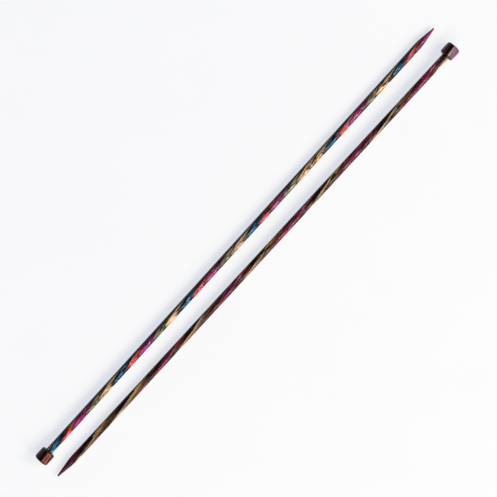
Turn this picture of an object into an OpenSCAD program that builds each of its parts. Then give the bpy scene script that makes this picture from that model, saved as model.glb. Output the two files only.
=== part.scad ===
// A pair of straight, single-pointed knitting needles.
//
// Each needle is a shaft turned from a laminated blank of dyed veneers, with a tapered point at
// one end and a turned knob glued on a tenon at the other. The blank is sawn at a small angle to
// its glue lines, so each veneer comes out as a long slanted lens. The two needles lie side by
// side, head to tail, on the plane z = 0. Lengths are in millimetres and angles in degrees.

/* [Shaft] */
// Length of a needle from the knob's end face to the tip
needle_l = 350; // [250:5:400]
// Diameter of the shaft, which is the size that the needle is sold by
shaft_d = 4.5; // [4:0.25:6.5]

/* [Point] */
// Length of the point from its shoulder to the tip
point_l = 15.4; // [13:0.2:20]
// Diameter of the rounded tip
tip_d = 1.1; // [0.8:0.1:1.6]
// Radius of the curve that blends the shaft into the point
shoulder_r = 40; // [25:1:60]

/* [Knob] */
// Diameter of the knob
knob_d = 9; // [8.4:0.2:12]
// Length of the knob
knob_l = 7.9; // [7:0.1:12]
// Radius of the rounded edge at the knob's end face
knob_end_r = 1.4; // [0.5:0.1:2]
// Radius of the rounded edge at the knob's front face, where the shaft leaves it
knob_front_r = 1.2; // [0.4:0.1:1.5]

/* [Joint between shaft and knob] */
// Diameter of the shaft's tenon
tenon_d = 3.4; // [2.8:0.1:3.8]
// Length of the tenon
tenon_l = 5; // [4:0.1:6]
// Chamfer on the tenon's end
tenon_chamfer = 0.4; // [0.2:0.1:0.6]
// Thickness of the glue between the tenon and its bore
glue_t = 0.1; // [0.05:0.01:0.2]
// Depth of the glue that gathers at the bottom of the bore
glue_pool = 0.3; // [0.1:0.1:0.6]

/* [Veneers] */
// Thickness of one veneer
ply_t = 1.6; // [1.3:0.1:2]
// Angle between the veneers and the first needle's axis
skew_a = 7.85; // [6:0.01:10]
// Angle between the veneers and the second needle's axis
skew_b = 8.07; // [6:0.01:10]
// Turn of the first needle's veneers about its axis
roll_a = 39; // [0:1:360]
// Turn of the second needle's veneers about its axis
roll_b = 67; // [0:1:360]
// Thickness that is left of the first needle's first veneer, beside the knob
first_ply_a = 0.7; // [0.6:0.1:1.2]
// Thickness that is left of the second needle's first veneer, beside the knob
first_ply_b = 1; // [0.6:0.1:1.2]
// Angle between the veneers of a knob and the needle's axis
knob_skew = 5.5; // [3:0.1:8]
// Turn of the knobs' veneers about the needle's axis
knob_roll = 90; // [0:1:360]

/* [Layout] */
// Distance between the two axes, at the middle of the needles
pair_gap = 15.1; // [13:0.1:40]
// Angle between the two axes, seen from above
pair_angle = 0.43; // [0:0.01:0.6]

/* [Hidden] */
$fn = 96;
// How far a cut runs on past the surface that it opens
cut = 1;
// Least share of a veneer that is left to stand by itself at the tip
least_ply = 0.3;
// Steps of the two arcs in the point's outline
shoulder_steps = 10;
tip_steps = 10;

shaft_r = shaft_d / 2;
tip_r = tip_d / 2;
knob_r = knob_d / 2;
tenon_r = tenon_d / 2;
bore_r = tenon_r + glue_t;

// Places along a needle, measured from the knob's end face
tenon_x = knob_l - tenon_l;
bore_x = tenon_x - glue_pool;
point_x = needle_l - point_l;
tip_x = needle_l - tip_r;

// The point's outline is an arc, a straight flank and a small arc. The flank touches both arcs,
// and its angle follows from the line that is tangent to the two circles.
shoulder_run = tip_x - point_x;
shoulder_rise = shoulder_r - shaft_r;
centre_span = norm([shoulder_rise, shoulder_run]);
flank_angle = atan2(shoulder_run, shoulder_rise) - acos((shoulder_r - tip_r) / centre_span);
shoulder_c = [shaft_r - shoulder_r, point_x];
tip_c = [0, tip_x];

// Each needle rests on its knob's front edge and on the curve of its shoulder, which tilts it
rest_run = point_x - (knob_l - knob_front_r);
rest_rise = (knob_r - knob_front_r) - (shaft_r - shoulder_r);
tilt = atan2(rest_rise, rest_run) - asin((shoulder_r - knob_front_r) / norm([rest_run, rest_rise]));
axis_z = (knob_l - knob_front_r) * sin(tilt) + (knob_r - knob_front_r) * cos(tilt) + knob_front_r;

// The angle between the needles moves the middle of the pair sideways, and this brings it back
toe = pair_angle / 2;
side_shift = (needle_l - (knob_l - knob_front_r + knob_end_r) * cos(tilt)) * sin(toe) / 2;

// The order of the veneers from the knob to the tip, one letter for each: blue, orange, magenta,
// green and tan in the first needle, and brown, tan, black, crimson and magenta in the second.
// A needle that needs more veneers starts again at the first letter.
stack_a = "MGTBOMGTBOMGTBOMGTBOMGTTBOMGTBOM";
stack_b = "BTKCMBTKCMBTKCMBTKCMBTKCMBTKBTKM";
// The order across the knobs: black, plum, brown and wine
stack_knob_a = "KPKBBW";
stack_knob_b = "PPBKWP";

// The knob's veneers are centred on it, from the edge at its end face to the one at its front
knob_low = knob_end_r * sin(knob_skew) - (knob_r - knob_end_r) * cos(knob_skew) - knob_end_r;
knob_high = (knob_l - knob_front_r) * sin(knob_skew) + (knob_r - knob_front_r) * cos(knob_skew)
    + knob_front_r;
knob_count = ceil((knob_high - knob_low) / ply_t);
knob_start = round(50 * (knob_high + knob_low - knob_count * ply_t)) / 100;

// How low and how high the shaft reaches along the normal of veneers with this skew. It is
// lowest at the tenon's end or at the shaft's own end, and highest where the point's outline
// runs along the veneers.
function stack_low(skew) =
    min(
        (tenon_x + tenon_chamfer) * sin(skew) - tenon_r * cos(skew),
        knob_l * sin(skew) - shaft_r * cos(skew)
    );
function stack_high(skew) =
    skew < flank_angle
        ? shoulder_c[1] * sin(skew) + shoulder_c[0] * cos(skew) + shoulder_r
        : tip_x * sin(skew) + tip_r;
// Where the shaft's first veneer starts, and how many there are. Starts are whole hundredths, so
// that neighbouring veneers meet in the same plane. The last veneer, at the tip, takes what is
// left, and is at least least_ply of a veneer thick.
function ply_start(skew, first_ply) = round(100 * (stack_low(skew) + first_ply - ply_t)) / 100;
function ply_count(skew, first_ply) =
    floor((stack_high(skew) - ply_start(skew, first_ply)) / ply_t + 1 - least_ply);
// Points of an arc round a centre, from one angle to another
function arc(centre, r, from, to, steps) =
    [for (i = [0 : steps]) let (a = from + (to - from) * i / steps) centre + r * [cos(a), sin(a)]];

// Outline of the shaft as x = radius and y = place along the needle
module shaft_outline() {
    polygon(concat(
        [[0, tenon_x], [tenon_r - tenon_chamfer, tenon_x], [tenon_r, tenon_x + tenon_chamfer]],
        [[tenon_r, knob_l], [shaft_r, knob_l]],
        arc(shoulder_c, shoulder_r, 0, flank_angle, shoulder_steps),
        arc(tip_c, tip_r, flank_angle, 90, tip_steps)
    ));
}

// Outline of the knob: a cylinder with both edges rounded
module knob_outline() {
    translate([0, knob_end_r]) square([knob_r, knob_l - knob_end_r - knob_front_r]);
    square([knob_r - knob_end_r, knob_l]);
    translate([0, knob_l - knob_front_r]) square([knob_r - knob_front_r, knob_front_r]);
    intersection() {
        translate([knob_r - knob_end_r, knob_end_r]) circle(r = knob_end_r);
        translate([knob_r - knob_end_r, -knob_end_r]) square(2 * knob_end_r);
    }
    intersection() {
        translate([knob_r - knob_front_r, knob_l - knob_front_r]) circle(r = knob_front_r);
        translate([knob_r - knob_front_r, knob_l - knob_front_r]) square(2 * knob_front_r);
    }
}

// Turns an outline about the needle's axis, which then runs along +X from the knob's end face
module turned() {
    rotate([0, 90, 0]) rotate_extrude() children();
}

module shaft_blank() {
    turned() shaft_outline();
}

module knob_blank() {
    difference() {
        turned() knob_outline();
        translate([bore_x, 0, 0]) rotate([0, 90, 0]) cylinder(r = bore_r, h = tenon_l + glue_pool + cut);
    }
}

// One veneer as sawn: the slab that starts at low in the stack, turned and skewed to the axis
module veneer(low, thick, skew, roll, half_w) {
    rotate([roll, 0, 0]) rotate([0, skew, 0])
        translate([-0.1 * needle_l, -half_w, low]) cube([1.2 * needle_l, 2 * half_w, thick]);
}

// The shaft's veneers of one dye. The last slab runs on past the tip, so that it takes what is left.
module shaft_plies(letter, stack, skew, roll, first_ply) {
    start = ply_start(skew, first_ply);
    count = ply_count(skew, first_ply);
    for (i = [0 : count - 1])
        if (stack[i % len(stack)] == letter)
            intersection() {
                shaft_blank();
                veneer(start + i * ply_t, i < count - 1 ? ply_t : ply_t + cut, skew, roll, shaft_d);
            }
}

// The knob's veneers of one dye
module knob_plies(letter, stack) {
    for (i = [0 : knob_count - 1])
        if (stack[i % len(stack)] == letter)
            intersection() {
                knob_blank();
                veneer(knob_start + i * ply_t, ply_t, knob_skew, knob_roll, knob_d);
            }
}

// The glue in the bore, around the tenon and below it
module knob_glue() {
    difference() {
        translate([bore_x, 0, 0]) rotate([0, 90, 0]) cylinder(r = bore_r, h = tenon_l + glue_pool);
        shaft_blank();
    }
}

// Lays a needle down with its knob at -X and its tip at +X
module lay_a() {
    translate([0, side_shift + pair_gap / 2, axis_z]) rotate([0, 0, toe])
        translate([-needle_l / 2, 0, 0]) rotate([0, tilt, 0]) children();
}

// Lays a needle down the other way round, beside the first
module lay_b() {
    translate([0, side_shift - pair_gap / 2, axis_z]) rotate([0, 0, 180 - toe])
        translate([-needle_l / 2, 0, 0]) rotate([0, tilt, 0]) children();
}

module needle_a_plies(letter) {
    lay_a() shaft_plies(letter, stack_a, skew_a, roll_a, first_ply_a);
}

module needle_b_plies(letter) {
    lay_b() shaft_plies(letter, stack_b, skew_b, roll_b, first_ply_b);
}

module needle_a_blue_plies() { color("#1c4a86") needle_a_plies("B"); }
module needle_a_orange_plies() { color("#c8542a") needle_a_plies("O"); }
module needle_a_magenta_plies() { color("#a02c68") needle_a_plies("M"); }
module needle_a_green_plies() { color("#3f6a3c") needle_a_plies("G"); }
module needle_a_tan_plies() { color("#c89c5c") needle_a_plies("T"); }
module needle_a_knob_black_plies() { color("#2a1c20") lay_a() knob_plies("K", stack_knob_a); }
module needle_a_knob_brown_plies() { color("#7a4434") lay_a() knob_plies("B", stack_knob_a); }
module needle_a_knob_plum_plies() { color("#6a3c58") lay_a() knob_plies("P", stack_knob_a); }
module needle_a_knob_wine_plies() { color("#5a1c28") lay_a() knob_plies("W", stack_knob_a); }
module needle_a_knob_glue() { color("#d8cfa8") lay_a() knob_glue(); }

module needle_b_tan_plies() { color("#b89c64") needle_b_plies("T"); }
module needle_b_brown_plies() { color("#6a3c2c") needle_b_plies("B"); }
module needle_b_magenta_plies() { color("#8c2850") needle_b_plies("M"); }
module needle_b_crimson_plies() { color("#a03440") needle_b_plies("C"); }
module needle_b_black_plies() { color("#24241c") needle_b_plies("K"); }
module needle_b_knob_black_plies() { color("#2a1c20") lay_b() knob_plies("K", stack_knob_b); }
module needle_b_knob_brown_plies() { color("#7a4434") lay_b() knob_plies("B", stack_knob_b); }
module needle_b_knob_plum_plies() { color("#6a3c58") lay_b() knob_plies("P", stack_knob_b); }
module needle_b_knob_wine_plies() { color("#5a1c28") lay_b() knob_plies("W", stack_knob_b); }
module needle_b_knob_glue() { color("#d8cfa8") lay_b() knob_glue(); }

needle_a_blue_plies();
needle_a_orange_plies();
needle_a_magenta_plies();
needle_a_green_plies();
needle_a_tan_plies();
needle_a_knob_black_plies();
needle_a_knob_brown_plies();
needle_a_knob_plum_plies();
needle_a_knob_wine_plies();
needle_a_knob_glue();
needle_b_tan_plies();
needle_b_brown_plies();
needle_b_magenta_plies();
needle_b_crimson_plies();
needle_b_black_plies();
needle_b_knob_black_plies();
needle_b_knob_brown_plies();
needle_b_knob_plum_plies();
needle_b_knob_wine_plies();
needle_b_knob_glue();
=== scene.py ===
"""Looks of a pair of straight knitting needles in dyed laminated birch.

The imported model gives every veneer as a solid, and those solids stay as they are. This script
finds the planes of the veneers in them, dresses each dye as a lacquered veneer with its fibres,
its glue lines and the way the dye soaked in, and sets up a small daylight studio.
"""

import logging
import math
from collections.abc import Mapping, Sequence
from dataclasses import dataclass
from enum import Enum

import bpy
import numpy as np
from mathutils import Euler, Matrix, Vector


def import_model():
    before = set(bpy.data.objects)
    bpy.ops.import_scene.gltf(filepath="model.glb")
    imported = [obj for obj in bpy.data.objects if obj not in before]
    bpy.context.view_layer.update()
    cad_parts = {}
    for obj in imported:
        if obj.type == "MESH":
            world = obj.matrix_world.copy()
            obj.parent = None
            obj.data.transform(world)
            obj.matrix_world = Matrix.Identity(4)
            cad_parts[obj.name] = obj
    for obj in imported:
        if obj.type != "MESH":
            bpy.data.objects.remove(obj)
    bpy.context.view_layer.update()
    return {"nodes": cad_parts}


log = logging.getLogger("needles")

MM = 0.001

# Faces of one veneer plane point the same way to this many digits, and to within this angle.
FACING_DIGITS = 2
PLANE_SPREAD = math.radians(0.7)

# Nearly all values of a noise lie in this span.
NOISE_SPAN = (0.3, 0.7)


def linear(hex_colour: str) -> tuple[float, float, float, float]:
    """Turns an sRGB colour into the linear one that the shaders work in.

    Args:
        hex_colour: The colour as "#rrggbb".

    Returns:
        Red, green, blue and alpha, each from 0 to 1.
    """
    parts = [int(hex_colour[i : i + 2], 16) / 255 for i in (1, 3, 5)]
    rgb = [c / 12.92 if c <= 0.04045 else ((c + 0.055) / 1.055) ** 2.4 for c in parts]
    return rgb[0], rgb[1], rgb[2], 1.0


def add(
    tree: bpy.types.NodeTree,
    kind: str,
    inputs: Mapping[str | int, object] | None = None,
    stops: Sequence[tuple[float, str]] = (),
    **settings: object,
) -> bpy.types.Node:
    """Adds a node with its settings, its values and its links.

    Args:
        tree: The node tree that gets the node.
        kind: Blender's name for the kind of node.
        inputs: A value, or the socket to link from, for each input by name or number.
        stops: Places and colours of a colour ramp, if the node has one.
        **settings: The node's own properties.

    Returns:
        The new node.
    """
    made = tree.nodes.new(kind)
    for name, value in settings.items():
        setattr(made, name, value)
    for count, (place, colour) in enumerate(stops):
        elements = made.color_ramp.elements
        element = elements[count] if count < len(elements) else elements.new(place)
        element.position = place
        element.color = linear(colour)
    for name, value in (inputs or {}).items():
        if isinstance(value, bpy.types.NodeSocket):
            tree.links.new(value, made.inputs[name])
        else:
            made.inputs[name].default_value = value
    return made


def new_material(name: str) -> bpy.types.Material:
    """Makes a material with an empty node tree.

    Args:
        name: The material's name.

    Returns:
        The material.
    """
    made = bpy.data.materials.new(name)
    made.use_nodes = True
    made.node_tree.nodes.clear()
    return made


def cover(piece: bpy.types.Object, finish: bpy.types.Material) -> None:
    """Puts one finish on a whole piece.

    Args:
        piece: The piece.
        finish: Its new material.
    """
    for slot in piece.material_slots:
        slot.material = finish
    log.info("%s: %s", piece.name, finish.name)


def seeing_ray(tree: bpy.types.NodeTree) -> bpy.types.NodeSocket:
    """Adds a test for the rays that see: those of the camera, of gloss and of glass.

    Args:
        tree: The node tree that gets the test.

    Returns:
        1 for a ray that sees, and 0 for one that only carries light.
    """
    path = add(tree, "ShaderNodeLightPath")
    seeing = path.outputs["Is Camera Ray"]
    for kind in ("Is Glossy Ray", "Is Transmission Ray"):
        seeing = add(
            tree, "ShaderNodeMath", {0: seeing, 1: path.outputs[kind]}, operation="MAXIMUM"
        ).outputs[0]
    return seeing


@dataclass(frozen=True)
class Laminate:
    """The glued stack that a part is turned from, as it lies in the part.

    Attributes:
        normal: Direction across the veneers.
        fibre: Direction of the fibres, along the veneers.
        start: Place of a glue line along the normal, in metres.
        ply: Thickness of one veneer, in metres.
    """

    normal: Vector
    fibre: Vector
    start: float
    ply: float

    @classmethod
    def found_in(
        cls, pieces: Sequence[bpy.types.Object], along: Vector, ply_mm: float
    ) -> "Laminate":
        """Finds the stack from the flat faces that the veneers share.

        Most of the area of flat faces looks along the stack's normal. The places of those faces,
        wrapped round the spacing of the veneers, agree on where the stack starts.

        Args:
            pieces: The solids that were cut from one blank.
            along: The direction that the needle's fibres follow, from knob to tip.
            ply_mm: Thickness of one veneer in millimetres.

        Returns:
            The stack's directions, start and veneer thickness.
        """
        faces = [face for piece in pieces for face in piece.data.polygons]
        normals = np.array([face.normal for face in faces])
        centres = np.array([face.center for face in faces])
        areas = np.array([face.area for face in faces])
        normals[normals @ np.array(along) < 0] *= -1
        ways, which = np.unique(np.round(normals, FACING_DIGITS), axis=0, return_inverse=True)
        largest = ways[np.argmax(np.bincount(which.ravel(), weights=areas))]
        on_planes = normals @ (largest / np.linalg.norm(largest)) > math.cos(PLANE_SPREAD)
        normal = Vector((normals * areas[:, None])[on_planes].sum(axis=0)).normalized()
        turns = centres[on_planes] @ np.array(normal) / (ply_mm * MM) * math.tau
        phase = np.angle(np.sum(np.exp(1j * turns) * areas[on_planes])) / math.tau
        fibre = (along - normal * along.dot(normal)).normalized()
        return cls(normal, fibre, float(phase) * ply_mm * MM, ply_mm * MM)

    def rotation(self) -> Euler:
        """Gives the turn that lays X along the fibres and Z across the veneers."""
        across = self.normal.cross(self.fibre)
        return Matrix((self.fibre, across, self.normal)).transposed().to_euler()

    def height(self, tree: bpy.types.NodeTree) -> bpy.types.NodeSocket:
        """Adds the place in the stack.

        Args:
            tree: The material's node tree.

        Returns:
            The place along the normal, counted in veneers from a glue line.
        """
        metres = add(
            tree,
            "ShaderNodeVectorMath",
            {0: add(tree, "ShaderNodeTexCoord").outputs["Object"], 1: self.normal},
            operation="DOT_PRODUCT",
        )
        return add(
            tree,
            "ShaderNodeMath",
            {0: metres.outputs["Value"], 1: 1 / self.ply, 2: -self.start / self.ply},
            operation="MULTIPLY_ADD",
        ).outputs[0]


@dataclass(frozen=True)
class Grain:
    """A pattern in the wood, drawn out along its fibres.

    Attributes:
        size_mm: Length, width and depth of one mark of the pattern.
        seed: A number that tells the pattern from others.
        layers: How many finer layers it has.
    """

    size_mm: tuple[float, float, float]
    seed: float
    layers: float

    def noise(self, tree: bpy.types.NodeTree, laminate: Laminate) -> bpy.types.NodeSocket:
        """Adds the pattern.

        Args:
            tree: The material's node tree.
            laminate: The stack whose fibres it follows.

        Returns:
            The pattern's value, from 0 to 1.
        """
        turned = add(
            tree,
            "ShaderNodeMapping",
            {
                "Vector": add(tree, "ShaderNodeTexCoord").outputs["Object"],
                "Rotation": laminate.rotation(),
                "Scale": [size * MM for size in self.size_mm],
            },
            vector_type="TEXTURE",
        )
        noise = add(
            tree,
            "ShaderNodeTexNoise",
            {"Vector": turned.outputs[0], "W": self.seed, "Scale": 1.0, "Detail": self.layers},
            noise_dimensions="4D",
        )
        return noise.outputs["Fac"]


@dataclass(frozen=True)
class Uptake:
    """How a pattern brings a second colour into the wood.

    Attributes:
        start: Value of the pattern at which the colour starts to show.
        full: Value at which it shows most.
        share: How much of it shows then, from 0 to 1.
    """

    start: float
    full: float
    share: float


@dataclass(frozen=True)
class Dye:
    """How one dye took in a birch veneer.

    Attributes:
        across: Shades from the veneer's face towards the knob to the one towards the tip.
        strong: Colour of the bundles of fibres that took the most dye.
        faint: Colour of the bundles that took the least.
        lot: Colour that some veneers of this dye lean to, because no two came out alike.
    """

    across: tuple[str, str, str, str]
    strong: str
    faint: str
    lot: str


class ShaftDye(Enum):
    """Dyes of the veneers in the shafts."""

    BLUE = Dye(
        # Its two darkest shades, at the face towards the knob, are partly painted shade: they draw
        # the blue going near black on the needle's shaded side.
        ("#0c080c", "#061428", "#0a3664", "#182038"),
        strong="#0878b0",
        faint="#88a8bc",
        lot="#0c485c",
    )
    ORANGE = Dye(
        ("#502428", "#bc362c", "#b83636", "#982846"),
        strong="#e0581e",
        faint="#d47c98",
        lot="#a42838",
    )
    MAGENTA = Dye(
        ("#842c44", "#822a50", "#88325e", "#783c56"),
        strong="#a02074",
        faint="#b08488",
        lot="#802878",
    )
    GREEN = Dye(
        ("#723e46", "#766650", "#585838", "#6a5830"),
        strong="#3c6834",
        faint="#d0b49c",
        lot="#648454",
    )
    TAN = Dye(
        ("#ae885a", "#d6a880", "#d8ae90", "#aa8c74"),
        strong="#e0a450",
        faint="#e4e2dc",
        lot="#bca870",
    )
    PALE_TAN = Dye(
        ("#c49460", "#dcae7a", "#dab480", "#a07e56"),
        strong="#e8b040",
        faint="#e8e4e0",
        lot="#c0ac60",
    )
    BROWN = Dye(
        ("#401418", "#48180e", "#602e14", "#7a4822"),
        strong="#904c18",
        faint="#946e5c",
        lot="#705228",
    )
    DEEP_MAGENTA = Dye(
        ("#7a2044", "#70203a", "#5e1c2a", "#481a24"),
        strong="#b01864",
        faint="#b0768c",
        lot="#9c1864",
    )
    CRIMSON = Dye(
        ("#5c221e", "#8c3a3e", "#9a3852", "#902a4e"),
        strong="#bc3644",
        faint="#d488a0",
        lot="#943830",
    )
    BLACK = Dye(
        ("#44160e", "#3e140c", "#38120a", "#321008"),
        strong="#200a06",
        faint="#a24028",
        lot="#18160e",
    )


class KnobDye(Enum):
    """Dyes of the knobs' veneers, darker than the shafts' dyes. Some hold painted light."""

    BLACK = Dye(
        ("#1c1210", "#1e0e0c", "#180a0a", "#1a0c0a"),
        strong="#080c10",
        faint="#54443a",
        lot="#181418",
    )
    BROWN = Dye(
        ("#66281a", "#84402e", "#8c4a3a", "#703024"),
        strong="#5c1c10",
        faint="#b47c68",
        lot="#94503a",
    )
    # Partly painted light: a greyish brown dye whose paler shades hold the painted sheen of the
    # knob's lit side.
    TAUPE = Dye(
        ("#685450", "#8c7670", "#967e78", "#7a645e"),
        strong="#5c4842",
        faint="#c8b8ae",
        lot="#9c8880",
    )
    # Painted light: this plum is drawn as it looks lit, with painted sheen in its paler shades.
    PLUM = Dye(
        ("#68365a", "#8c567a", "#966086", "#7a486a"),
        strong="#682a54",
        faint="#c8a2bc",
        lot="#9c5880",
    )
    WINE = Dye(
        ("#481014", "#581820", "#54141c", "#400e14"),
        strong="#6c1014",
        faint="#7c4444",
        lot="#641c24",
    )
    # Painted shade: this is the same plum drawn as it looks in shade, so its shades are darker.
    DARK_WINE = Dye(
        ("#2c0c0e", "#3a1216", "#3c1418", "#2a0c10"),
        strong="#26060a",
        faint="#644840",
        lot="#34161e",
    )


@dataclass(frozen=True)
class LacqueredVeneer:
    """Dyed birch veneer, glued up with its neighbours, turned, sanded and lacquered.

    The dye soaks in from both faces and along the fibres, so bundles of fibres take more or
    less of it, and each glue line shows as a dark thread. The clear lacquer fills the pores and
    is smooth and glossy over all of it, which gives the needle its one long highlight.

    Attributes:
        dye: The dye and the way that it took.
        laminate: The stack that the veneer belongs to.
        edge_grain: How much darker the veneer's edge is than its broad face, from 0 to 1.
        bundles: Bundles of fibres that drank alike.
        pale_streaks: Streaks that stayed pale. They are as narrow as 0.1 mm, drawn coarser to
            show, as the dark ones and the ridges are.
        dark_streaks: Streaks that went nearly black.
        ridges: Shallow waves that the sanding left along the fibres.
        fibres: Single fibres. Birch fibres are 0.03 mm wide, drawn coarser to show.
        lot_uptake: How a veneer leans to the other colour of its dye.
        strong_uptake: How the bundles bring in the strongest dye.
        faint_uptake: How the pale streaks bring in the faintest.
        creep: How far the bundles carry the dye's change across the veneer, in veneers.
        heart: Depths, in veneers from the face towards the knob, at which the strongest and the
            faintest dye start to show and show in full. The face itself keeps its own colour.
        face_share: How much of them shows at that face, from 0 to 1.
        fibre_shades: How dark and how bright the fibres are.
        dark_span: Values of the dark streaks at which they start and are darkest.
        dark_shade: How dark they are.
        thread_mm: Half the width of the dark thread at a glue line, drawn wider to show.
        thread_shade: How dark the thread is.
        end_grain: How much darker the cut ends of the fibres are, from 0 to 1.
        end_span: How squarely the surface cuts the fibres where they start to look darker and
            where they are darkest.
        wood_roughness: Least and greatest roughness of the wood under the lacquer.
        wood_gloss: Specular level of the wood, which has next to no gloss of its own there.
        ridge_mm: Height of the ridges.
        pore_mm: Height of the fibres.
        lacquer: Weight of the coat of lacquer.
        lacquer_roughness: Its roughness.
        lacquer_ior: Its index of refraction.
    """

    dye: Dye
    laminate: Laminate
    edge_grain: float
    bundles: Grain = Grain((14.0, 1.5, 1.2), seed=0.0, layers=2.0)
    pale_streaks: Grain = Grain((18.0, 0.7, 0.55), seed=5.0, layers=1.0)
    dark_streaks: Grain = Grain((18.0, 0.7, 0.55), seed=9.0, layers=1.0)
    ridges: Grain = Grain((18.0, 0.7, 0.55), seed=12.0, layers=1.0)
    fibres: Grain = Grain((6.0, 0.4, 0.35), seed=2.0, layers=3.0)
    lot_uptake: Uptake = Uptake(start=0.2, full=1.0, share=0.6)
    strong_uptake: Uptake = Uptake(start=0.47, full=0.55, share=0.9)
    faint_uptake: Uptake = Uptake(start=0.55, full=0.61, share=0.85)
    creep: float = 0.5
    heart: tuple[float, float] = (0.15, 0.4)
    face_share: float = 0.1
    fibre_shades: tuple[float, float] = (0.62, 1.38)
    dark_span: tuple[float, float] = (0.53, 0.58)
    dark_shade: float = 0.04
    thread_mm: float = 0.12
    thread_shade: float = 0.1
    end_grain: float = 0.6
    end_span: tuple[float, float] = (0.15, 0.6)
    wood_roughness: tuple[float, float] = (0.38, 0.5)
    wood_gloss: float = 0.05
    ridge_mm: float = 0.16
    pore_mm: float = 0.03
    lacquer: float = 0.42
    lacquer_roughness: float = 0.2
    lacquer_ior: float = 1.5

    def soaked(
        self,
        tree: bpy.types.NodeTree,
        height: bpy.types.NodeSocket,
        bundles: bpy.types.NodeSocket,
    ) -> bpy.types.NodeSocket:
        """Adds the dye: its change across the veneer, and what took more or less of it.

        Args:
            tree: The material's node tree.
            height: Place in the stack.
            bundles: Pattern of the fibre bundles.

        Returns:
            The dyed wood's colour.
        """
        depth = add(tree, "ShaderNodeMath", {0: height}, operation="FRACT").outputs[0]
        creep = add(
            tree,
            "ShaderNodeMath",
            {0: bundles, 1: self.creep, 2: -self.creep / 2},
            operation="MULTIPLY_ADD",
        ).outputs[0]
        reach = add(tree, "ShaderNodeMath", {0: depth, 1: creep}).outputs[0]
        count = len(self.dye.across)
        colour = add(
            tree,
            "ShaderNodeValToRGB",
            {"Fac": reach},
            stops=[((step + 0.5) / count, shade) for step, shade in enumerate(self.dye.across)],
        ).outputs["Color"]
        inner = add(
            tree,
            "ShaderNodeMapRange",
            {
                "Value": reach,
                "From Min": self.heart[0],
                "From Max": self.heart[1],
                "To Min": self.face_share,
            },
            interpolation_type="SMOOTHSTEP",
        ).outputs[0]
        veneer = add(tree, "ShaderNodeMath", {0: height}, operation="FLOOR").outputs[0]
        lot = add(tree, "ShaderNodeTexWhiteNoise", {"W": veneer}, noise_dimensions="1D")
        streaks = self.pale_streaks.noise(tree, self.laminate)
        strong, faint = (
            add(tree, "ShaderNodeMath", {0: pattern, 1: inner}, operation="MULTIPLY").outputs[0]
            for pattern in (bundles, streaks)
        )
        for pattern, shade, uptake in (
            (lot.outputs["Value"], self.dye.lot, self.lot_uptake),
            (strong, self.dye.strong, self.strong_uptake),
            (faint, self.dye.faint, self.faint_uptake),
        ):
            took = add(
                tree,
                "ShaderNodeMapRange",
                {
                    "Value": pattern,
                    "From Min": uptake.start,
                    "From Max": uptake.full,
                    "To Max": uptake.share,
                },
                interpolation_type="SMOOTHSTEP",
            )
            # The node's two colours go in at 6 and 7, and their mixture comes out at 2.
            colour = add(
                tree,
                "ShaderNodeMix",
                {0: took.outputs[0], 6: colour, 7: linear(shade)},
                data_type="RGBA",
            ).outputs[2]
        return colour

    def facing(
        self,
        tree: bpy.types.NodeTree,
        way: Vector,
        span: tuple[float, float],
        shades: tuple[float, float],
    ) -> bpy.types.NodeSocket:
        """Adds a shade that depends on how squarely the surface faces a way in the wood.

        Args:
            tree: The material's node tree.
            way: The direction, either way along it.
            span: Shares of facing, from 0 to 1, at which the shade starts to change and is done.
            shades: The shade before the change and after it.

        Returns:
            The shade.
        """
        turned = add(
            tree,
            "ShaderNodeVectorMath",
            {0: add(tree, "ShaderNodeTexCoord").outputs["Normal"], 1: way},
            operation="DOT_PRODUCT",
        ).outputs["Value"]
        share = add(tree, "ShaderNodeMath", {0: turned}, operation="ABSOLUTE").outputs[0]
        return add(
            tree,
            "ShaderNodeMapRange",
            {
                "Value": share,
                "From Min": span[0],
                "From Max": span[1],
                "To Min": shades[0],
                "To Max": shades[1],
            },
            interpolation_type="SMOOTHSTEP",
        ).outputs[0]

    def darkened(
        self,
        tree: bpy.types.NodeTree,
        colour: bpy.types.NodeSocket,
        height: bpy.types.NodeSocket,
        fibres: bpy.types.NodeSocket,
    ) -> bpy.types.NodeSocket:
        """Adds the fibres, the dark streaks, the glue threads and the cut grain to a colour.

        Args:
            tree: The material's node tree.
            colour: The dyed wood's colour.
            height: Place in the stack.
            fibres: Pattern of the single fibres.

        Returns:
            The colour with all of them in it.
        """
        fine = add(
            tree,
            "ShaderNodeMapRange",
            {
                "Value": fibres,
                "From Min": NOISE_SPAN[0],
                "From Max": NOISE_SPAN[1],
                "To Min": self.fibre_shades[0],
                "To Max": self.fibre_shades[1],
            },
        ).outputs[0]
        dark = add(
            tree,
            "ShaderNodeMapRange",
            {
                "Value": self.dark_streaks.noise(tree, self.laminate),
                "From Min": self.dark_span[0],
                "From Max": self.dark_span[1],
                "To Min": 1.0,
                "To Max": self.dark_shade,
            },
            interpolation_type="SMOOTHSTEP",
        ).outputs[0]
        # The distance to the nearest glue line, up to half a veneer. The thread fades with it, and
        # is half gone where its width ends.
        near = add(tree, "ShaderNodeMath", {0: height, 1: 0.5}, operation="PINGPONG")
        thread = add(
            tree,
            "ShaderNodeMapRange",
            {
                "Value": near.outputs[0],
                "From Max": 2 * self.thread_mm * MM / self.laminate.ply,
                "To Min": self.thread_shade,
                "To Max": 1.0,
            },
            interpolation_type="SMOOTHSTEP",
        ).outputs[0]
        ends = self.facing(tree, self.laminate.fibre, self.end_span, (1.0, 1.0 - self.end_grain))
        # The veneers are drawn darker where the surface cuts them on edge.
        edges = self.facing(tree, self.laminate.normal, (0.0, 1.0), (1.0 - self.edge_grain, 1.0))
        shade = fine
        for factor in (dark, thread, ends, edges):
            shade = add(
                tree, "ShaderNodeMath", {0: shade, 1: factor}, operation="MULTIPLY"
            ).outputs[0]
        return add(
            tree, "ShaderNodeVectorMath", {0: colour, "Scale": shade}, operation="SCALE"
        ).outputs[0]

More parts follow.
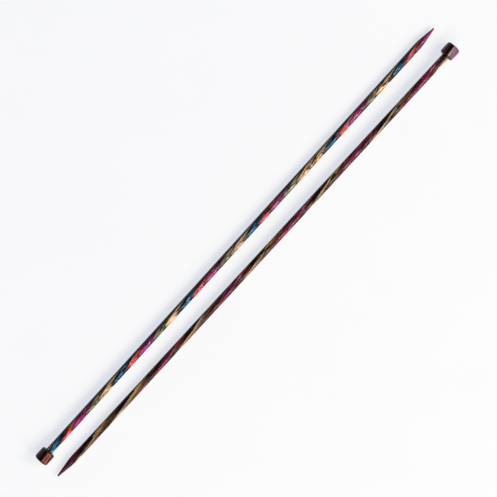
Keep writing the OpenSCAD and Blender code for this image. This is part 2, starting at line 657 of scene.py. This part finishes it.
    def material(self, name: str) -> bpy.types.Material:
        """Makes the finish.

        Args:
            name: The material's name.

        Returns:
            The material.
        """
        made = new_material(name)
        tree = made.node_tree
        bundles = self.bundles.noise(tree, self.laminate)
        fibres = self.fibres.noise(tree, self.laminate)
        height = self.laminate.height(tree)
        colour = self.darkened(tree, self.soaked(tree, height, bundles), height, fibres)
        matt = add(
            tree,
            "ShaderNodeMapRange",
            {
                "Value": fibres,
                "From Min": NOISE_SPAN[0],
                "From Max": NOISE_SPAN[1],
                "To Min": self.wood_roughness[0],
                "To Max": self.wood_roughness[1],
            },
        )
        waves = add(
            tree,
            "ShaderNodeBump",
            {
                "Height": self.ridges.noise(tree, self.laminate),
                "Strength": 1.0,
                "Distance": self.ridge_mm * MM,
            },
        )
        relief = add(
            tree,
            "ShaderNodeBump",
            {
                "Height": fibres,
                "Strength": 1.0,
                "Distance": self.pore_mm * MM,
                "Normal": waves.outputs[0],
            },
        )
        wood = add(
            tree,
            "ShaderNodeBsdfPrincipled",
            {
                "Base Color": colour,
                "Roughness": matt.outputs[0],
                "Normal": relief.outputs[0],
                "Specular IOR Level": self.wood_gloss,
                "Coat Weight": self.lacquer,
                "Coat Roughness": self.lacquer_roughness,
                "Coat IOR": self.lacquer_ior,
                "Coat Normal": relief.outputs[0],
            },
        )
        add(tree, "ShaderNodeOutputMaterial", {"Surface": wood.outputs[0]})
        return made


@dataclass(frozen=True)
class DriedGlue:
    """Wood glue, squeezed out round the shaft and dried.

    It is a translucent cream film that has shrunk a little, with a soft sheen.

    Attributes:
        cream: Colour of the film where it is thick.
        amber: Colour where it is thin and the wood shows through.
        ripple_mm: Size of the wrinkles that it dried with.
        ripple_span: Values of the wrinkles at which the film is thin and thick.
        ripple_depth_mm: Depth of the wrinkles.
        ripple_strength: How much of that depth the shrunk film keeps, from 0 to 1.
        roughness: Its roughness.
        ior: Its index of refraction.
    """

    cream: str = "#b8a27c"
    amber: str = "#8a6440"
    ripple_mm: float = 0.5
    ripple_span: tuple[float, float] = (0.35, 0.65)
    ripple_depth_mm: float = 0.05
    ripple_strength: float = 0.4
    roughness: float = 0.4
    ior: float = 1.48

    def material(self, name: str) -> bpy.types.Material:
        """Makes the finish.

        Args:
            name: The material's name.

        Returns:
            The material.
        """
        made = new_material(name)
        tree = made.node_tree
        wrinkles = add(
            tree,
            "ShaderNodeTexNoise",
            {
                "Vector": add(tree, "ShaderNodeTexCoord").outputs["Object"],
                "Scale": 1 / (self.ripple_mm * MM),
                "Detail": 2.0,
            },
        )
        thin, thick = self.ripple_span
        colour = add(
            tree,
            "ShaderNodeValToRGB",
            {"Fac": wrinkles.outputs["Fac"]},
            stops=[(thin, self.amber), (thick, self.cream)],
        )
        relief = add(
            tree,
            "ShaderNodeBump",
            {
                "Height": wrinkles.outputs["Fac"],
                "Strength": self.ripple_strength,
                "Distance": self.ripple_depth_mm * MM,
            },
        )
        film = add(
            tree,
            "ShaderNodeBsdfPrincipled",
            {
                "Base Color": colour.outputs["Color"],
                "Roughness": self.roughness,
                "IOR": self.ior,
                "Normal": relief.outputs[0],
            },
        )
        add(tree, "ShaderNodeOutputMaterial", {"Surface": film.outputs[0]})
        return made


@dataclass(frozen=True)
class TurnedPart:
    """A part of a needle, turned from one laminated blank.

    Attributes:
        dyes: Dye of each of its nodes, by the rest of the node's name.
        part: Kind of part, which its finishes are named after.
        edge_grain: How much darker its veneers are on edge than on their faces, from 0 to 1.
        ply_mm: Thickness of its veneers.
    """

    dyes: Mapping[str, ShaftDye | KnobDye]
    part: str
    edge_grain: float
    ply_mm: float = 1.6

    def dress(self, needle: str, along: Vector, nodes: Mapping[str, bpy.types.Object]) -> None:
        """Dresses the part's veneers.

        Args:
            needle: The needle's name, which starts the names of its nodes.
            along: Direction from the knob to the tip, at rest.
            nodes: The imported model's objects by name.
        """
        pieces = {rest: nodes[f"{needle}_{rest}"] for rest in self.dyes}
        laminate = Laminate.found_in(list(pieces.values()), along, self.ply_mm)
        log.info("%s %s: stack %s from %.5f", needle, self.part, laminate.normal, laminate.start)
        for rest, piece in pieces.items():
            dye = self.dyes[rest]
            veneer = LacqueredVeneer(dye.value, laminate, self.edge_grain)
            name = f"{needle}_{self.part}_lacquered_{dye.name.lower()}_birch_veneer"
            cover(piece, veneer.material(name))


@dataclass(frozen=True)
class Shaft(TurnedPart):
    """The tapered shaft. Its slanted veneers are drawn darker on edge than on their faces."""

    part: str = "shaft"
    edge_grain: float = 0.58


@dataclass(frozen=True)
class Knob(TurnedPart):
    """The knob, whose veneers are drawn no darker on edge than on their faces."""

    part: str = "knob"
    edge_grain: float = 0.0


@dataclass(frozen=True)
class Needle:
    """One needle: a shaft, and the knob that is glued to its end.

    Attributes:
        name: Start of the names of its nodes.
        along: Direction from the knob to the tip, at rest.
        shaft: The shaft.
        knob: The knob.
        glue: The glue between them.
    """

    name: str
    along: Vector
    shaft: Shaft
    knob: Knob
    glue: DriedGlue = DriedGlue()

    def dress(self, nodes: Mapping[str, bpy.types.Object]) -> None:
        """Dresses the shaft, the knob and the glue between them.

        Args:
            nodes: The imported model's objects by name.
        """
        self.shaft.dress(self.name, self.along, nodes)
        self.knob.dress(self.name, self.along, nodes)
        film = self.glue.material(f"{self.name}_dried_wood_glue")
        cover(nodes[f"{self.name}_knob_glue"], film)


@dataclass(frozen=True)
class SoftWindow:
    """A large lamp behind a white cloth, which lights like a window.

    Attributes:
        name: The lamp's name.
        lean: Angle between the vertical and the line from the needles to its middle, in degrees.
        turn: Turn of that line about the vertical, from -Y towards +X, in degrees.
        width: Its width, in metres.
        height: Its height.
        radiance: How bright the cloth is.
        colour: Colour of the light.
        distance: How far it is from the needles.
    """

    name: str
    lean: float
    turn: float
    width: float
    height: float
    radiance: float
    colour: str
    distance: float = 3.0

    def hang(self) -> None:
        """Hangs the lamp so that it faces the needles."""
        lamp = bpy.data.lights.new(self.name, "AREA")
        lamp.shape = "RECTANGLE"
        lamp.size = self.width
        lamp.size_y = self.height
        lamp.energy = self.radiance * math.pi * self.width * self.height
        lamp.color = linear(self.colour)[:3]
        window = bpy.data.objects.new(self.name, lamp)
        facing = Euler((math.radians(self.lean), 0, math.radians(self.turn)))
        window.rotation_euler = facing
        window.location = facing.to_matrix() @ Vector((0, 0, self.distance))
        window.visible_camera = False
        bpy.context.collection.objects.link(window)
        log.info("%s: %.2f by %.2f m", self.name, self.width, self.height)


@dataclass(frozen=True)
class OverheadCamera:
    """A camera straight above the pair, turned so that the needles cross its view.

    Attributes:
        height: Height of the lens over the floor, in metres.
        view_width: Width of the view at the floor, in metres.
        turn: Turn of the view about the vertical, in degrees.
        centre: Place on the floor that it looks at, in metres.
    """

    height: float = 1.2
    view_width: float = 0.2982
    turn: float = -47.5
    centre: tuple[float, float] = (0.002745, 0.001618)

    def place(self) -> None:
        """Places the camera and makes it the scene's own."""
        lens = bpy.data.cameras.new("overhead_camera")
        lens.angle = 2 * math.atan(self.view_width / 2 / self.height)
        camera = bpy.data.objects.new("overhead_camera", lens)
        camera.location = (*self.centre, self.height)
        camera.rotation_euler = (0, 0, math.radians(self.turn))
        bpy.context.collection.objects.link(camera)
        bpy.context.scene.camera = camera
        log.info("overhead_camera: %.1f m up", self.height)


@dataclass(frozen=True)
class PaintedBoard:
    """Board, rolled with matt grey paint.

    The roller left a faint mottle and next to no gloss, so shadows lie soft and even on it. For
    rays that see, a white page is added to the grey: the floor looks pale and keeps its
    shadows, and it throws no more light on the needles than the grey does.

    Attributes:
        dark: Darker tone of the mottle.
        light: Lighter tone.
        mottle_mm: Size of the mottle.
        roughness: Roughness of the paint.
        gloss: Its specular level.
        page: Colour of the page.
        page_light: Brightness of the page.
    """

    dark: str = "#8d8b7f"
    light: str = "#8f8d81"
    mottle_mm: float = 50.0
    roughness: float = 0.9
    gloss: float = 0.1
    page: str = "#f0f4fd"
    page_light: float = 0.786

    def material(self, name: str) -> bpy.types.Material:
        """Makes the finish.

        Args:
            name: The material's name.

        Returns:
            The material.
        """
        made = new_material(name)
        tree = made.node_tree
        mottle = add(
            tree,
            "ShaderNodeTexNoise",
            {
                "Vector": add(tree, "ShaderNodeTexCoord").outputs["Object"],
                "Scale": 1 / (self.mottle_mm * MM),
            },
        )
        paint = add(
            tree,
            "ShaderNodeValToRGB",
            {"Fac": mottle.outputs["Fac"]},
            stops=list(zip(NOISE_SPAN, (self.dark, self.light), strict=True)),
        )
        board = add(
            tree,
            "ShaderNodeBsdfPrincipled",
            {
                "Base Color": paint.outputs["Color"],
                "Roughness": self.roughness,
                "Specular IOR Level": self.gloss,
            },
        )
        shine = add(
            tree,
            "ShaderNodeMath",
            {0: seeing_ray(tree), 1: self.page_light},
            operation="MULTIPLY",
        )
        page = add(
            tree,
            "ShaderNodeEmission",
            {"Color": linear(self.page), "Strength": shine.outputs[0]},
        )
        both = add(tree, "ShaderNodeAddShader", {0: board.outputs[0], 1: page.outputs[0]})
        add(tree, "ShaderNodeOutputMaterial", {"Surface": both.outputs[0]})
        return made


@dataclass(frozen=True)
class Floor:
    """The floor that the needles lie on, which keeps their soft shadows.

    Attributes:
        size: Length of its side, in metres.
        board: What it is made of.
    """

    size: float = 16.0
    board: PaintedBoard = PaintedBoard()

    def lay(self) -> None:
        """Lays the floor level with the lowest points of the needles."""
        half = self.size / 2
        mesh = bpy.data.meshes.new("floor")
        corners = [(-half, -half, 0), (half, -half, 0), (half, half, 0), (-half, half, 0)]
        mesh.from_pydata(corners, [], [(0, 1, 2, 3)])
        floor = bpy.data.objects.new("floor", mesh)
        bpy.context.collection.objects.link(floor)
        mesh.materials.append(self.board.material("matt_grey_painted_board"))
        log.info("floor: %.0f m across", self.size)


@dataclass(frozen=True)
class Room:
    """The room round the floor: pale walls below a dim ceiling.

    Heights in it are rises: 0 is level with the needles and 1 is straight above them.

    Attributes:
        wall: Colour of the walls to rays that see.
        wall_top: Rises at which those walls start to fade and have gone.
        glow: Colour of the light that walls and ceiling give.
        wall_light: Brightness of the light from the walls, which fills the shadows.
        ceiling_light: Brightness of the light from the ceiling.
        glow_span: Rises at which the one starts to turn into the other and has done so.
    """

    wall: str = "#fafcfd"
    wall_top: tuple[float, float] = (0.05, 0.12)
    glow: str = "#d4e2ff"
    wall_light: float = 1.0
    ceiling_light: float = 0.05
    glow_span: tuple[float, float] = (0.1, 0.4)

    def build(self) -> None:
        """Builds the room as the world round the scene."""
        world = bpy.data.worlds.new("room")
        world.use_nodes = True
        tree = world.node_tree
        tree.nodes.clear()
        way = add(tree, "ShaderNodeTexCoord").outputs["Generated"]
        rise = add(tree, "ShaderNodeSeparateXYZ", {0: way}).outputs["Z"]
        low = add(
            tree,
            "ShaderNodeMapRange",
            {
                "Value": rise,
                "From Min": self.wall_top[0],
                "From Max": self.wall_top[1],
                "To Min": 1.0,
                "To Max": 0.0,
            },
            interpolation_type="SMOOTHSTEP",
        ).outputs[0]
        share = add(
            tree, "ShaderNodeMath", {0: seeing_ray(tree), 1: low}, operation="MULTIPLY"
        ).outputs[0]
        light = add(
            tree,
            "ShaderNodeMapRange",
            {
                "Value": rise,
                "From Min": self.glow_span[0],
                "From Max": self.glow_span[1],
                "To Min": self.wall_light,
                "To Max": self.ceiling_light,
            },
            interpolation_type="SMOOTHSTEP",
        ).outputs[0]
        dim, pale = (
            add(tree, "ShaderNodeBackground", {"Color": linear(colour), "Strength": strength})
            for colour, strength in ((self.glow, light), (self.wall, 1.0))
        )
        mixed = add(
            tree, "ShaderNodeMixShader", {0: share, 1: dim.outputs[0], 2: pale.outputs[0]}
        )
        add(tree, "ShaderNodeOutputWorld", {"Surface": mixed.outputs[0]})
        bpy.context.scene.world = world
        log.info("room: walls %.2f, ceiling %.2f", self.wall_light, self.ceiling_light)


@dataclass(frozen=True)
class Studio:
    """A daylight studio: a pale floor, soft windows on one side, a room and a camera above.

    Attributes:
        windows: The lamps.
        camera: The camera.
        floor: The floor.
        room: The room.
    """

    windows: tuple[SoftWindow, ...]
    camera: OverheadCamera = OverheadCamera()
    floor: Floor = Floor()
    room: Room = Room()

    def build(self) -> None:
        """Builds the camera, the floor, the light and the room."""
        self.camera.place()
        self.floor.lay()
        for window in self.windows:
            window.hang()
        self.room.build()
        bpy.context.scene.view_settings.view_transform = "Standard"


STUDIO = Studio(
    windows=(
        SoftWindow(
            "key_window",
            lean=54.0,
            turn=4.0,
            width=0.9,
            height=1.2,
            radiance=12.8,
            colour="#f4f8ff",
        ),
        SoftWindow(
            "near_window",
            lean=50.0,
            turn=-43.0,
            width=1.35,
            height=1.35,
            radiance=7.0,
            colour="#fff0e2",
        ),
        SoftWindow(
            "far_window",
            lean=51.0,
            turn=43.0,
            width=1.1,
            height=1.1,
            radiance=15.2,
            colour="#fff0e2",
        ),
    )
)

NEEDLES = (
    Needle(
        "needle_a",
        Vector((1, 0, 0)),
        shaft=Shaft(
            {
                "blue_plies": ShaftDye.BLUE,
                "orange_plies": ShaftDye.ORANGE,
                "magenta_plies": ShaftDye.MAGENTA,
                "green_plies": ShaftDye.GREEN,
                "tan_plies": ShaftDye.TAN,
            }
        ),
        knob=Knob(
            {
                "knob_black_plies": KnobDye.BLACK,
                "knob_brown_plies": KnobDye.BROWN,
                # Needle A's plum plies get the plum drawn in painted shade.
                "knob_plum_plies": KnobDye.DARK_WINE,
                "knob_wine_plies": KnobDye.WINE,
            }
        ),
    ),
    Needle(
        "needle_b",
        Vector((-1, 0, 0)),
        shaft=Shaft(
            {
                "tan_plies": ShaftDye.PALE_TAN,
                "brown_plies": ShaftDye.BROWN,
                "magenta_plies": ShaftDye.DEEP_MAGENTA,
                "crimson_plies": ShaftDye.CRIMSON,
                "black_plies": ShaftDye.BLACK,
            }
        ),
        knob=Knob(
            {
                "knob_black_plies": KnobDye.BLACK,
                # Needle B's brown plies get a greyish brown with painted sheen in it.
                "knob_brown_plies": KnobDye.TAUPE,
                # Needle B's plum plies get the plum drawn lit, with painted sheen.
                "knob_plum_plies": KnobDye.PLUM,
                "knob_wine_plies": KnobDye.WINE,
            }
        ),
    ),
)


def main() -> None:
    """Dresses the needles and builds the studio."""
    logging.basicConfig(level=logging.INFO, format="%(name)s: %(message)s")
    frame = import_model()
    STUDIO.build()
    for needle in NEEDLES:
        needle.dress(frame["nodes"])


if __name__ == "__main__":
    main()
